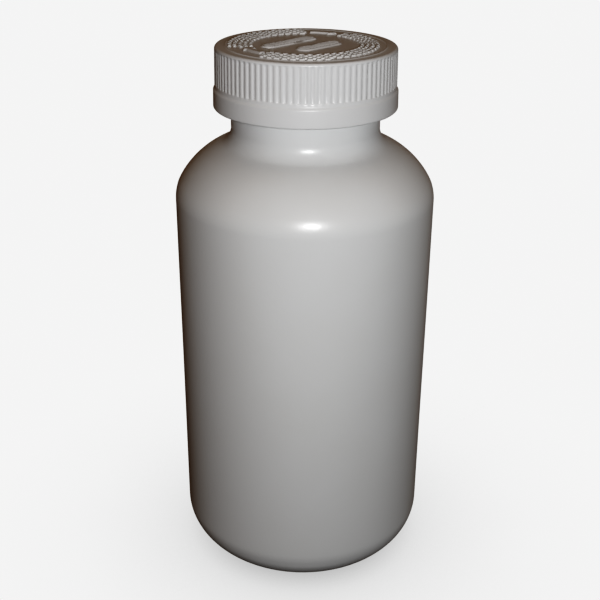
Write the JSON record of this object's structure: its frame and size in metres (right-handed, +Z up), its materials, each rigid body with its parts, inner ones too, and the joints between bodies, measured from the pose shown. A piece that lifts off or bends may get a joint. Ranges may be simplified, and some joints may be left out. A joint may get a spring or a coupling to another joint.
{
  "type": "wide-mouth packer bottle",
  "caption": "Plain white round packer bottle with a ribbed push-down-and-turn child-resistant closure on a threaded neck.",
  "frame": {"origin": "centre of the standing ring, in the plane that the bottle rests on", "axes": "+Z up the bottle's axis, through the closure; X and Y are arbitrary on this round part, with the start of the neck thread on +X"},
  "size_m": [0.085, 0.085, 0.1808],
  "materials": {
    "bottle": "satin white blow-moulded polyethylene, faint moulding texture",
    "liner": "matt off-white pulp board with a thin film face",
    "inner_cap": "plain white moulded polypropylene",
    "spring_ring": "natural white moulded polypropylene, half matt",
    "outer_cap": "white moulded polypropylene, satin ribs and band, flat top with raised marks"
  },
  "bodies": {
    "bottle": {"bottle": "bottle"},
    "liner": {"liner": "liner"},
    "inner_cap": {"inner_cap": "inner_cap"},
    "spring_ring": {"spring_ring": "spring_ring"},
    "outer_cap": {"outer_cap": "outer_cap"}
  },
  "joints": [
    {"name": "cap_rise", "type": "slide", "parent": "bottle", "child": "liner", "axis": [0, 0, 1], "range_m": [0, 0.0053]},
    {"name": "cap_turn", "type": "hinge", "parent": "liner", "child": "inner_cap", "pos_m": [0, 0, 0.17], "axis": [0, 0, 1], "range_deg": [0, 450]},
    {"name": "spin", "type": "hinge", "parent": "inner_cap", "child": "spring_ring", "pos_m": [0, 0, 0.17], "axis": [0, 0, 1], "continuous": true},
    {"name": "push", "type": "slide", "parent": "spring_ring", "child": "outer_cap", "axis": [0, 0, 1], "range_m": [-0.0016, 0], "stiffness_N_per_m": 3000, "springref_m": 0.0002, "deforming": ["spring_ring"]}
  ],
  "couplings": [
    {"joint": "cap_rise", "follows": "cap_turn", "m_per_rad": 0.00067371}
  ]
}
